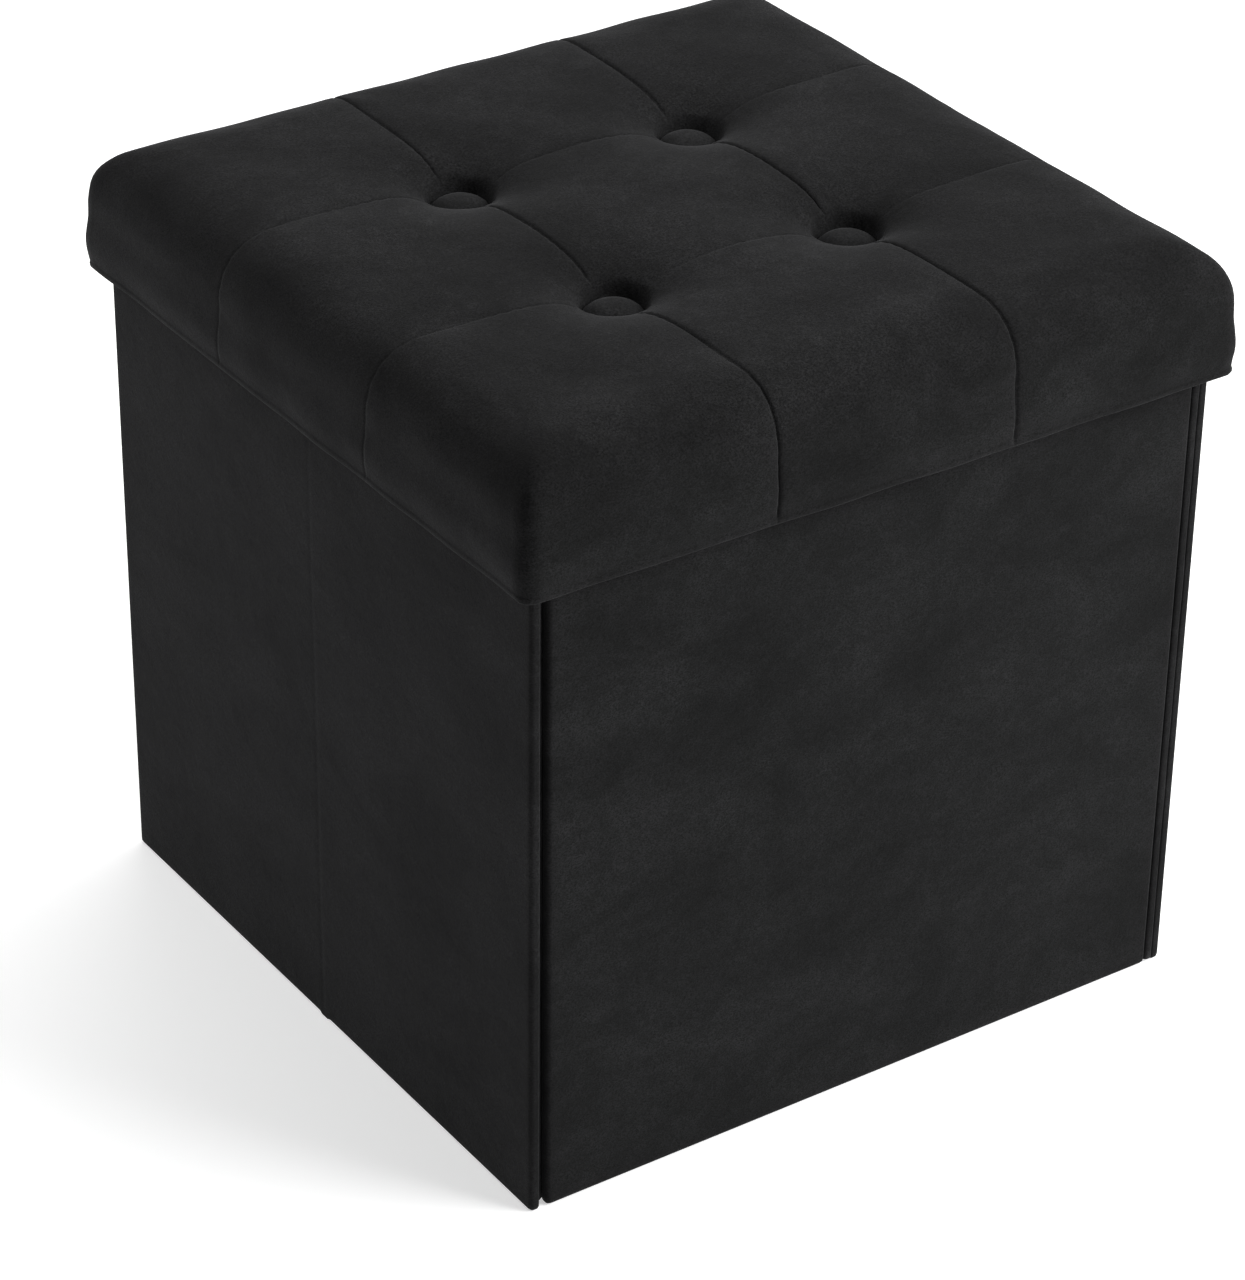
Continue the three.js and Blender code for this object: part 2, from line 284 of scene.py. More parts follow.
def velvet_material():
    """Black velvet: a short pile with a sheen, brushed different ways, with painted sheen: soft patchy and
    streaky lighter and darker areas in its base colour.
    """
    nodes = Nodes("black_velvet")
    brushed = nodes.stretched((1.0, 1.0, 1.5), (0.3, 0.2, 0.5))
    sheen_patches = nodes.noise(14, detail=6, roughness=0.66, place=brushed, distortion=0.5)
    nap_streaks_and_sheen = nodes.noise(130, detail=6, roughness=0.74, place=brushed)
    pile = nodes.noise(1000, detail=3, roughness=0.75, place=brushed)
    # painted sheen: the patch and streak noises make the base colour lighter and darker, standing in for the
    # sheen that changes where the pile is brushed different ways; the pile noise adds the fibres' own fine
    # tone, and the streak noise also sets the roughness and a real bump
    shade = nodes.times(nodes.spread(sheen_patches, 0.66, 1.40, 0.36, 0.64),
                        nodes.spread(nap_streaks_and_sheen, 0.70, 1.34, 0.38, 0.62))
    shade = nodes.times(shade, nodes.spread(pile, 0.3, 1.8, 0.36, 0.64))
    soft = nodes.bump(nap_streaks_and_sheen, 0.4, 0.7 * MM)
    return nodes.finished(
        nodes.tinted(VELVET_BLACK, shade), nodes.spread(nap_streaks_and_sheen, 0.78, 0.98),
        nodes.bump(pile, 0.5, 0.25 * MM, soft),
        Specular_IOR_Level=0.1, Sheen_Weight=0.07, Sheen_Roughness=0.36,
        Sheen_Tint=(0.75, 0.75, 0.78, 1))


def lining_material():
    """Spun-bonded lining: matted fibres, pressed in a grid of small dots."""
    nodes = Nodes("non_woven_lining")
    fibres = nodes.noise(700, detail=6, roughness=0.75, distortion=1.2)
    pressed = nodes.spread(nodes.cells(420, randomness=0.0), 0.0, 1.0, 0.16, 0.3)
    cloud = nodes.noise(22, detail=3)
    shade = nodes.times(nodes.spread(fibres, 0.75, 1.3), nodes.spread(cloud, 0.85, 1.15))
    shade = nodes.times(shade, nodes.spread(pressed, 0.8, 1.0, 0.0, 1.0))
    felt = nodes.bump(fibres, 0.3, 0.2 * MM)
    return nodes.finished(
        nodes.tinted(LINING_BLACK, shade), nodes.spread(pressed, 0.55, 0.9, 0.0, 1.0),
        nodes.bump(pressed, 0.5, 0.2 * MM, felt), Specular_IOR_Level=0.3)


def ribbon_material():
    """Woven ribbon: a twill of fine ribs with soft edges."""
    nodes = Nodes("woven_ribbon")
    ribs = nodes.twill(260, 0.6)
    wear = nodes.noise(120)
    shade = nodes.times(nodes.spread(ribs, 0.7, 1.25, 0, 1), nodes.spread(wear, 0.8, 1.2))
    return nodes.finished(nodes.tinted(RIBBON_BLACK, shade), nodes.spread(wear, 0.5, 0.75),
                          nodes.bump(ribs, 0.5, 0.2 * MM))


def fibreboard_material():
    """Pressed board: pale brown, flecked with short fibres."""
    nodes = Nodes("fibreboard_grain")
    fibres = nodes.noise(60, detail=7, roughness=0.7, place=nodes.stretched((1, 6, 6)), distortion=0.8)
    flecks = nodes.noise(520, detail=4, roughness=0.8)
    tone = nodes.ramp(fibres, BOARD_TONES)
    return nodes.finished(nodes.tinted(tone, nodes.spread(flecks, 0.72, 1.15)),
                          nodes.spread(flecks, 0.7, 0.92), nodes.bump(flecks, 0.4, 0.3 * MM))


def foam_material():
    """Open-cell foam: cream, full of small pores."""
    nodes = Nodes("open_cell_foam")
    pores = nodes.cells(650)
    clouds = nodes.noise(30, detail=3)
    tone = nodes.ramp(pores, FOAM_TONES)
    return nodes.finished(nodes.tinted(tone, nodes.spread(clouds, 0.86, 1.08)),
                          nodes.spread(pores, 1.0, 0.8), nodes.bump(pores, 0.7, 0.6 * MM))


def twine_material():
    """Waxed twine: pale, with twisted strands."""
    nodes = Nodes("waxed_twine")
    strands = nodes.twill(420, 1.5)
    return nodes.finished(nodes.tinted(TWINE_CREAM, nodes.spread(strands, 0.6, 1.1, 0, 1)),
                          nodes.spread(strands, 0.7, 0.5, 0, 1), nodes.bump(strands, 0.6, 0.2 * MM))


def washer_material():
    """Moulded black plastic with faint flow marks."""
    nodes = Nodes("moulded_plastic")
    marks = nodes.noise(90, detail=4, distortion=1.5)
    grain = nodes.noise(1400, detail=2)
    return nodes.finished(nodes.tinted(PLASTIC_BLACK, nodes.spread(marks, 0.8, 1.2)),
                          nodes.spread(marks, 0.36, 0.52), nodes.bump(grain, 0.2, 0.1 * MM))


def steel_material():
    """Drawn steel wire for the staples."""
    nodes = Nodes("staple_steel")
    drawn = nodes.noise(600, detail=4)
    return nodes.finished(nodes.tinted(STEEL_GREY, nodes.spread(drawn, 0.8, 1.1)),
                          nodes.spread(drawn, 0.25, 0.45), nodes.bump(drawn, 0.15, 0.05 * MM), Metallic=1.0)


def thread_material():
    """Twisted black sewing thread."""
    nodes = Nodes("sewing_thread")
    twist = nodes.noise(1500, detail=3, place=nodes.stretched((1, 1, 0.3)))
    return nodes.finished(nodes.tinted(THREAD_BLACK, nodes.spread(twist, 0.6, 1.4)),
                          nodes.spread(twist, 0.4, 0.65), nodes.bump(twist, 0.4, 0.1 * MM))


# ---- Mesh helpers ----


def add_object(name, points, faces, material):
    """A smooth-shaded mesh object from an array of points and a list of faces."""
    mesh = bpy.data.meshes.new(name)
    mesh.from_pydata(np.asarray(points).tolist(), [], [list(face) for face in faces])
    mesh.shade_smooth()
    mesh.materials.append(material)
    obj = bpy.data.objects.new(name, mesh)
    bpy.context.scene.collection.objects.link(obj)
    return obj


def normals_of(points, faces):
    """The vertex normals of a mesh."""
    mesh = bpy.data.meshes.new("normals")
    mesh.from_pydata(points.tolist(), [], faces.tolist())
    mesh.update()
    out = np.zeros(len(points) * 3, np.float32)
    mesh.vertex_normals.foreach_get("vector", out)
    bpy.data.meshes.remove(mesh)
    return out.reshape(-1, 3).astype(float)


def graded_lines(half, marks, coarse, fine, reach, wide=None):
    """Line places from -half to half: coarse apart, and fine near each mark.

    `wide` is a (gap, reach) that the lines keep round the fine ones.
    """
    samples = 400
    stops = sorted({0.0, half, *[mark for mark in marks if 0 < mark < half]})
    places = [0.0]
    for low, high in zip(stops, stops[1:]):
        t = np.linspace(low, high, samples)
        near = np.min([np.abs(t - mark) for mark in marks], axis=0)
        gap = coarse - (coarse - fine) * np.exp(-((near / reach) ** 2))
        if wide:
            gap = np.minimum(gap, coarse - (coarse - wide[0]) * np.exp(-((near / wide[1]) ** 4)))
        density = 1 / gap
        steps = (density[1:] + density[:-1]) / 2 * np.diff(t)
        count = np.concatenate([[0.0], np.cumsum(steps)])
        lines = max(2, round(count[-1]))
        places += list(np.interp(np.linspace(0, count[-1], lines + 1)[1:], count, t))
    places = np.array(places)
    return np.concatenate([-places[:0:-1], places])


def edge_lines(half):
    """Line places across a wall panel, finer near its edges."""
    return graded_lines(half, [half], 7 * MM, 2 * MM, 10 * MM)


def hem_lines(half):
    """Line places across a sheet, finer near its edges and its row of stitches."""
    return graded_lines(half, [half - HEM_INSET, half], 9 * MM, 1.6 * MM, 5 * MM)


def grid_faces(index):
    """The four-sided faces of a grid of vertex numbers."""
    corners = [index[:-1, :-1], index[1:, :-1], index[1:, 1:], index[:-1, 1:]]
    return np.stack(corners, -1).reshape(-1, 4)


def band(first, second):
    """The faces between two closed loops of as many vertices."""
    return np.stack([first, second, np.roll(second, -1), np.roll(first, -1)], -1)


def turned_band(first, second):
    """The faces of a band, turned to face the other way."""
    return band(first, second)[:, [0, 3, 2, 1]]


def rounded_edge(radius, degrees, pinched=False):
    """Rings of a section that turns over an edge, for a Wrap.

    Their corners have the same radius, or if pinched, one no larger than their outset.
    """
    rings = []
    for angle in np.radians(degrees):
        outset = radius * math.sin(angle)
        rings.append((outset, radius * (1 - math.cos(angle)), outset if pinched else radius))
    return rings


def closed_shell(outer, inner, faces, rim):
    """Closed points and faces between outer points and as many inner ones."""
    count = len(outer)
    closed = np.concatenate([faces, faces[:, ::-1] + count, band(rim, rim + count)])
    return np.concatenate([outer, inner]), closed


def placed(points, place):
    """Points of a local frame, moved by a 4 x 4 matrix."""
    world = np.array(place)
    return points @ world[:3, :3].T + world[:3, 3]


class Wrap:
    """A face grid in the u-v plane, continued over its edges by rings of vertices.

    Each ring is (outset, drop, corner radius): how far outside the face it runs, how far
    below, and how round its corners are. `held` is where along each side the lines stay
    put; beyond it they spread so that the ring reaches its corners. For each point,
    `ring` is its ring's number, `side` the side it is on, 0 to 3, or -1 on the face, and
    `along` its place along that side.
    """

    def __init__(self, us, vs, rings, held=(0.0, 0.0)):
        self.us, self.vs, self.rings = us, vs, rings
        nu, nv = len(us), len(vs)
        self.half = np.array([us[-1], vs[-1]])
        grid_u, grid_v = np.meshgrid(us, vs, indexing="ij")
        face = np.stack([grid_u.ravel(), grid_v.ravel(), np.zeros(nu * nv)], -1)
        index = np.arange(nu * nv).reshape(nu, nv)
        loop = np.concatenate([index[:-1, 0], index[-1, :-1], index[:0:-1, -1], index[0, :0:-1]])
        side = np.repeat([0, 1, 2, 3], [nu - 1, nv - 1, nu - 1, nv - 1])
        edge = face[loop, :2]
        along = np.where(side % 2 == 0, edge[:, 0], edge[:, 1])
        span = np.where(side % 2 == 0, self.half[0], self.half[1])
        forward = np.where(side < 2, along, -along)
        self.loop_share = side + (forward + span) / (2 * span)
        points = [face]
        self.along = [np.full(nu * nv, np.nan)]
        self.side = [np.full(nu * nv, -1)]
        self.ring = [np.zeros(nu * nv, int)]
        for number, ring in enumerate(rings, 1):
            ring_points, ring_along = self._ring(edge, side, ring, held)
            points.append(ring_points)
            self.along.append(ring_along)
            self.side.append(side)
            self.ring.append(np.full(len(loop), number))
        self.points = np.concatenate(points)
        self.along = np.concatenate(self.along)
        self.side = np.concatenate(self.side)
        self.ring = np.concatenate(self.ring)
        faces = [grid_faces(index)]
        previous = loop
        for number in range(len(rings)):
            current = nu * nv + number * len(loop) + np.arange(len(loop))
            faces.append(band(previous, current))
            previous = current
        self.faces = np.concatenate(faces)
        self.rim = previous

    def _ring(self, edge, side, ring, held):
        outset, drop, radius = ring
        outer = self.half + outset
        spread = np.empty_like(edge)
        for axis in (0, 1):
            start = held[axis]
            size = np.abs(edge[:, axis])
            stretch = (outer[axis] - start) / (self.half[axis] - start)
            moved = np.where(size > start, start + (size - start) * stretch, size)
            spread[:, axis] = np.sign(edge[:, axis]) * moved
        along = np.where(side % 2 == 0, spread[:, 0], spread[:, 1])
        places = spread.copy()
        if radius > 0:
            for axis in (0, 1):
                on = (side % 2 == axis)
                to_corner = outer[axis] - np.abs(spread[:, axis])
                turn = np.clip(1 - to_corner / radius, 0, 1) * math.pi / 4
                in_corner = on & (to_corner < radius)
                centre = outer - radius
                other = 1 - axis
                run = np.sign(spread[:, axis]) * (centre[axis] + radius * np.sin(turn))
                out = np.sign(edge[:, other]) * (centre[other] + radius * np.cos(turn))
                places[in_corner, axis] = run[in_corner]
                places[in_corner, other] = out[in_corner]
        points = np.column_stack([places, np.full(len(edge), -drop)])
        return points, along

    def shell(self, points, thickness):
        """Closed points and faces of the outer points and a skin inside them.

        The thickness is one number, or one for each point.
        """
        inner = points - normals_of(points, self.faces) * np.reshape(thickness, (-1, 1))
        return self.closed(points, inner)

    def closed(self, points, under):
        """Closed points and faces between the given outer points and those under them."""
        return closed_shell(points, under, self.faces, self.rim)

    def pillow(self, points):
        """Closed points and faces of the outer points and their mirror image below w = 0."""
        count = len(points)
        twin = np.arange(count) + count
        twin[self.rim] = self.rim
        mirrored = points * (1, 1, -1)
        faces = np.concatenate([self.faces, twin[self.faces[:, ::-1]]])
        used = np.unique(faces)
        renumber = np.zeros(2 * count, int)
        renumber[used] = np.arange(len(used))
        return np.concatenate([points, mirrored])[used], renumber[faces]


WOBBLE_WAVES = 9


def wobble(points, size, height, seed):
    """A smooth, repeatable unevenness: a few crossed waves of random direction."""
    random = np.random.default_rng(seed)
    total = np.zeros(len(points))
    for _ in range(WOBBLE_WAVES):
        heading = random.normal(size=3)
        heading /= np.linalg.norm(heading)
        length = size * random.uniform(0.6, 1.7)
        total += np.sin(points @ heading * (2 * math.pi / length) + random.uniform(0, 2 * math.pi))
    return total * height / math.sqrt(WOBBLE_WAVES)


# ---- Lid ----

CROWN = 33 * MM
CROWN_POWER = 2.45  # above 2, the crown runs smoothly into the flat top and the sides
CORNER = 5 * MM
HEM_FOLD = 1.3 * MM
HEM_ROLL = 0.35 * MM  # the folded hem stands out this far
COVER_SKIN = 1.1 * MM
SEAM_SOFT_DEPTH = 0.4 * MM
SEAM_SOFT_REACH = 4 * MM
CROSS_SOFT_SHARE = 0.2
LONG_SEAM_DEPTH = 1.2 * MM  # of the sewn lines that run front to back
CROSS_SEAM_DEPTH = 0.3 * MM  # of those that run side to side, which are pulled tighter
SEAM_LINE_REACH = 0.65 * MM
PIT_LIP_DEPTH = 9.0 * MM  # from the crown to where the fabric drops down beside a button
PIT_LIP_WIDTH = 4.0 * MM
PIT_REACH = 9.5 * MM
SAG_DEPTH = 2.6 * MM  # a wider, shallower sag round each dimple, which bows the seams
SAG_REACH = 26 * MM
CELL_DOME = 0.35 * MM
MAX_SWELL = 0.6 * MM  # the most that the cloth simulation may push the cover out
PUCKER = 0.2 * MM
PUCKER_REACH = 4 * MM
STITCH = 6.5 * MM
SEAM_BAND = (1.5 * MM, 20 * MM)  # line spacing kept this far from a seam, round the pits
SIDE_BULGE = 1.5 * MM
BULGE_SHARE = 1.15  # the bulge would close this far down the side, past the hem
HEM_TURN = 2 * MM  # how round the mouth's corners are
HEM_FADE = 6 * MM  # seams and corners run out over this height above the hem
MITRE_DEPTH = 1.0 * MM  # of the crease down each of the cover's corners
MITRE_REACH = 1.1 * MM
SEAM_CLEAR = 3 * MM  # the sewn lines are at full depth this far from a dimple's lip
PIT_FLOOR = button_radius + 3 * MM  # the radius of a dimple's floor, under its button
LID_WAVE = 45 * MM  # the length and height of the cover's unevenness
LID_WAVE_HEIGHT = 0.3 * MM
FOAM_CLEARANCE = 0.6 * MM  # between the pad and the velvet's inner side
FOAM_PRESS = 4 * MM  # how much further a button presses the pad


def lid_rings():
    """The cover's section from the crown down the side and under the hem."""
    rings = []
    for angle in np.radians(np.linspace(6, 90, 15)):
        outset = CROWN * math.sin(angle) ** (2 / CROWN_POWER)
        drop = CROWN * (1 - math.cos(angle) ** (2 / CROWN_POWER))
        rings.append((outset, drop, min(0.5 * outset, CORNER)))
    side = lid_height - CROWN - HEM_FOLD
    for share in (*np.linspace(0.1, 0.9, 8), 0.925, 0.95, 0.975, 1.0):
        outset = CROWN + SIDE_BULGE * math.sin(math.pi * share / BULGE_SHARE) ** 2
        outset += HEM_ROLL * np.clip((share - 0.9) / 0.05, 0, 1) ** 2
        rings.append((outset, CROWN + side * share, CORNER))
    hem = rings[-1][0]
    for angle in np.radians((22, 45, 68, 90)):
        outset = hem - HEM_FOLD * (1 - math.cos(angle))
        rings.append((outset, lid_height - HEM_FOLD * (1 - math.sin(angle)), CORNER))
    mouth = lining_high.x - (lid_half_x - CROWN)
    for share in (0.4, 1.0):
        outset = (hem - HEM_FOLD) * (1 - share) + mouth * share
        rings.append((outset, lid_height, CORNER * (1 - share) + HEM_TURN * share))
    return rings


def seam_distance(places, seam):
    """How far a coordinate is from the nearer of the two seams across it."""
    return np.abs(np.abs(places) - seam)


def near_button(places):
    """How far points are, seen from above, from the middle of their nearest button."""
    return np.hypot(seam_distance(places[:, 0], seam_x), seam_distance(places[:, 1], seam_y))


def seam_line(distance, along, depth):
    """Depth of a sewn line: a narrow groove, and puckers between its stitches."""
    sharp = depth * np.exp(-((distance / SEAM_LINE_REACH) ** 2))
    ripple = PUCKER * np.cos(along * (2 * math.pi / STITCH)) * np.exp(-distance / PUCKER_REACH)
    return sharp + ripple


def top_depth(x, y):
    """How far the tufted top lies below its crown at x, y."""
    dx = seam_distance(x, seam_x)
    dy = seam_distance(y, seam_y)
    radius = np.hypot(dx, dy)
    lip = button_radius + PIT_LIP_WIDTH

    beyond = np.maximum(radius - lip, 0)
    depth = (PIT_LIP_DEPTH - SAG_DEPTH) * np.exp(-((beyond / PIT_REACH) ** 1.15))
    depth = depth + SAG_DEPTH * np.exp(-((beyond / SAG_REACH) ** 1.5))
    soft = np.exp(-dx / SEAM_SOFT_REACH) + CROSS_SOFT_SHARE * np.exp(-dy / SEAM_SOFT_REACH)
    depth = depth + SEAM_SOFT_DEPTH * soft * (1 - depth / PIT_LIP_DEPTH)
    plunge = np.clip((lip - radius) / PIT_LIP_WIDTH, 0, 1)
    depth = depth + (pit_depth - PIT_LIP_DEPTH) * plunge ** 2 * (3 - 2 * plunge)
    clear = np.clip((radius - lip) / SEAM_CLEAR, 0, 1)
    for across, along, line in ((dx, y, LONG_SEAM_DEPTH), (dy, x, CROSS_SEAM_DEPTH)):
        depth = depth + seam_line(across, along, line) * clear
    dome = np.ones_like(x)
    for place, seam, half in ((x, seam_x, lid_half_x), (y, seam_y, lid_half_y)):
        outer_cell = (np.abs(place) - (seam + half) / 2) / ((half - seam) / 2)
        share = np.where(np.abs(place) < seam, place / seam, outer_cell)
        dome = dome * (1 - np.clip(share, -1, 1) ** 2)
    return depth - CELL_DOME * dome


def lid_wrap(coarse, fine):
    """The grid that the lid's cover is built on."""
    xs = graded_lines(lid_half_x - CROWN, [seam_x], coarse, fine, 3 * MM, wide=SEAM_BAND)
    ys = graded_lines(lid_half_y - CROWN, [seam_y], coarse, fine, 3 * MM, wide=SEAM_BAND)
    return Wrap(xs, ys, lid_rings(), held=(seam_x, seam_y))


def shaped_lid(wrap):
    """The cover's outer points before it is inflated."""
    points = wrap.points.copy()
    normals = normals_of(points, wrap.faces)
    face = wrap.side < 0
    points[face, 2] -= top_depth(points[face, 0], points[face, 1])
    rings = ~face
    across_front = wrap.side % 2 == 0
    seam = np.where(across_front, seam_x, seam_y)
    distance = seam_distance(wrap.along[rings], seam[rings])
    drop = -wrap.points[rings, 2]
    outward = np.abs(wrap.points[rings, :2])
    run = drop + np.maximum(outward[:, 0] - lid_half_x + CROWN, outward[:, 1] - lid_half_y + CROWN)
    fade = np.clip((lid_height - drop) / HEM_FADE, 0, 1)
    line = np.where(across_front, LONG_SEAM_DEPTH, CROSS_SEAM_DEPTH)[rings]
    soft = SEAM_SOFT_DEPTH * np.where(across_front, 1, CROSS_SOFT_SHARE)[rings]
    depth = (soft * np.exp(-distance / SEAM_SOFT_REACH) + seam_line(distance, run, line)) * fade
    half = np.where(across_front, lid_half_x, lid_half_y)[rings]
    to_corner = np.maximum(half - np.abs(wrap.along[rings]), 0)
    mitre = MITRE_DEPTH * np.exp(-to_corner / MITRE_REACH)
    depth += mitre * fade * np.clip(drop / HEM_FADE, 0, 1)
    points[rings] -= normals[rings] * depth[:, None]
    points[:, 2] += crown_z
    return points


def uneven_lid(wrap):
    """The shaped cover's points, slightly uneven."""
    points = shaped_lid(wrap)
    uneven = wobble(points, LID_WAVE, LID_WAVE_HEIGHT, 4)
    return points + normals_of(points, wrap.faces) * uneven[:, None]


CLOTH = {
    "quality": 5,
    "mass": 0.25,
    "tension_stiffness": 18,
    "compression_stiffness": 18,
    "shear_stiffness": 8,
    "bending_stiffness": 1.2,
    "vertex_group_mass": "pins",
    "pin_stiffness": 1.0,
    "use_pressure": True,
    "uniform_pressure_force": 4.0,
}
CLOTH_FRAMES = 20
SEWN_PIN = 0.9  # a seam is held almost firmly, and the dimples and hem firmly
FIRM_PIN = 1.0
PIN_REACH = 1 * MM
MAX_SINK = 0.3 * MM  # the most that the simulation may pull the cover in
swell = []  # the moves and the grid of the one simulation, once it has run


def pin_weights(wrap):
    """How firmly each point of the cover is held while it is inflated."""
    weights = np.zeros(len(wrap.points))
    face = wrap.side < 0
    dx = seam_distance(wrap.points[:, 0], seam_x)
    dy = seam_distance(wrap.points[:, 1], seam_y)
    on_seam = face & (np.minimum(dx, dy) < PIN_REACH)
    side_seam = np.where(wrap.side % 2 == 0, seam_x, seam_y)
    sewn = ~face & (seam_distance(np.nan_to_num(wrap.along), side_seam) < PIN_REACH)
    weights[on_seam | sewn] = SEWN_PIN
    weights[face & (near_button(wrap.points) < PIT_FLOOR)] = FIRM_PIN
    weights[~face & (wrap.points[:, 2] < HEM_FADE - lid_height)] = FIRM_PIN
    return weights


def inflate(wrap, points):
    """Moves of the coarse cover under a cloth simulation with air pressure inside."""
    obj = add_object("lid_cloth", points, wrap.faces, velvet)
    pins = obj.vertex_groups.new(name="pins")
    weights = pin_weights(wrap)
    for weight in (SEWN_PIN, FIRM_PIN):
        pins.add(np.flatnonzero(weights == weight).tolist(), weight, "REPLACE")
    cloth = obj.modifiers.new("cloth", "CLOTH")
    for key, value in CLOTH.items():
        setattr(cloth.settings, key, value)
    cloth.settings.effector_weights.gravity = 0
    for number in range(1, CLOTH_FRAMES + 1):
        bpy.context.scene.frame_set(number)
    graph = bpy.context.evaluated_depsgraph_get()
    final = obj.evaluated_get(graph).to_mesh()
    moved = np.zeros(len(points) * 3, np.float32)
    final.vertices.foreach_get("co", moved)
    move = moved.reshape(-1, 3).astype(float) - points
    bpy.data.objects.remove(obj)
    bpy.context.scene.frame_set(1)
    normals = normals_of(points, wrap.faces)
    outward = np.clip(np.sum(move * normals, axis=1), -MAX_SINK, None)
    return normals * (MAX_SWELL * np.tanh(outward / MAX_SWELL))[:, None]


def read_at(places, known, values, period=None):
    """Values known at some places along their first axis, read between them."""
    columns = values.reshape(len(known), -1).T
    read = [np.interp(places, known, column, period=period) for column in columns]
    return np.stack(read, -1).reshape(len(places), *values.shape[1:])


def carried(move, coarse, fine):
    """The coarse cover's moves, read at the fine cover's points."""
    nu, nv = len(coarse.us), len(coarse.vs)
    grid = move[:nu * nv].reshape(nu, nv, 3)
    loops = move[nu * nv:].reshape(len(coarse.rings), -1, 3)[:len(fine.rings)]
    rows = read_at(fine.us, coarse.us, grid)
    face = read_at(fine.vs, coarse.vs, rows.swapaxes(0, 1)).swapaxes(0, 1)
    rings = [read_at(fine.loop_share, coarse.loop_share, loop, period=4) for loop in loops]
    return np.concatenate([face.reshape(-1, 3), *rings])


def swollen_lid(wrap):
    """The cover's outer points on any grid, uneven and inflated."""
    points = uneven_lid(wrap)
    if not swell:
        coarse = lid_wrap(6.5 * MM, 3.0 * MM)
        swell.append((inflate(coarse, uneven_lid(coarse)), coarse))
    points += carried(*swell[0], wrap)
    return points


def add_lid_cover():
    """The tufted velvet cover."""
    fine = lid_wrap(3.4 * MM, 0.45 * MM)
    shell_points, faces = fine.shell(swollen_lid(fine), COVER_SKIN)
    cover = add_object("velvet_lid_cover", shell_points, faces, velvet)
    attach(cover, "lid")
    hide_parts("lid_cover")


def add_lid_foam():
    """The foam pad, pressed in under the seams and buttons as the cover is."""
    xs = graded_lines(lid_half_x - CROWN, [seam_x], 5 * MM, 2 * MM, 10 * MM)
    ys = graded_lines(lid_half_y - CROWN, [seam_y], 5 * MM, 2 * MM, 10 * MM)
    inset = COVER_SKIN + FOAM_CLEARANCE
    foam_drop = crown_z - foam_low.z - inset
    rings = [ring for ring in lid_rings() if ring[1] < foam_drop - 2 * MM]
    rings.append((CROWN, foam_drop, CORNER))
    wrap = Wrap(xs, ys, rings, held=(seam_x, seam_y))
    points = swollen_lid(wrap)
    points -= normals_of(points, wrap.faces) * inset
    pressed = np.clip(2 - near_button(wrap.points) / PIT_FLOOR, 0, 1)
    points[:, 2] -= FOAM_PRESS * pressed * (wrap.side < 0)
    points[:, 2] = np.maximum(points[:, 2], foam_low.z + 1 * MM)
    under = points.copy()
    shrink = 1 - 0.004 * (1 + 0.8 * (len(rings) - wrap.ring))  # so that no two rings fall together
    under[:, :2] *= shrink[:, None]
    under[:, 2] = foam_low.z
    shell_points, faces = wrap.closed(points, under)
    pad = add_object("foam_pad", shell_points, faces, foam)
    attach(pad, "lid")
    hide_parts("lid_foam")


SHEET = 0.5 * MM
HEM_INSET = 6 * MM  # from a sheet's edge to its row of stitches
LINING_FOLD = 2 * MM  # the lid lining's turn from the board down to the skirts
STAPLES_PER_SIDE = 8
STAPLE_REACH = 5 * MM  # from a staple's middle to its end, and up from the lining's edge
STAPLE_RADIUS = 0.32 * MM
STAPLE_SUNK = 0.25 * MM


def add_lid_lining():
    """The lining of the lid's hollow, over the board and down the skirts."""
    half_x = lining_high.x - SHEET
    half_y = lining_high.y - SHEET
    fold = LINING_FOLD
    depth = lining_high.z - SHEET - lining_low.z
    xs, ys = (graded_lines(half - fold, [half - fold], 9 * MM, 3 * MM, 10 * MM)
              for half in (half_x, half_y))
    corner = 0.4 * fold
    rings = [(outset, -drop, corner) for outset, drop, _ in rounded_edge(fold, (30, 60, 90))]
    rings += [(fold, -fold - (depth - fold) * share, corner) for share in np.linspace(0.1, 1, 8)]
    wrap = Wrap(xs, ys, rings)
    points = wrap.points.copy()
    points[:, 2] += np.where(wrap.side < 0, wobble(points, 70 * MM, 0.12 * MM, 41), 0)
    shell_points, faces = wrap.shell(points, SHEET * 0.9)
    shell_points = shell_points * (1, -1, -1) + (0, 0, lining_high.z - SHEET)
    sheet = add_object("lid_lining_cloth", shell_points, faces, lining)
    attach(sheet, "lid")
    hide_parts("lid_lining")
    add_staples(half_x, half_y)


def add_staples(half_x, half_y):
    """The staples that hold the lid's lining to the skirts."""
    staples = []
    for half, across, axis in ((half_x, half_y, 0), (half_y, half_x, 1)):
        step = np.zeros(3)
        step[1 - axis] = STAPLE_REACH
        for number in range(STAPLES_PER_SIDE):
            for sign in (-1, 1):
                place = np.zeros(3)
                place[axis] = sign * (half - STAPLE_SUNK)
                place[1 - axis] = across * (2 * (number + 0.5) / STAPLES_PER_SIDE - 1)
                place[2] = lining_low.z + STAPLE_REACH
                staples.append((place - step, place + step))
    bars = add_beads("lid_staples", staples, STAPLE_RADIUS, steel, flat=0.9)
    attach(bars, "lid")


BEAD_SIDES = 8
BEAD_ROWS = 7
BEAD_TIP = 0.12  # the radius of a bead's two ends, as a share of its own
THREAD_RADIUS = 0.22 * MM


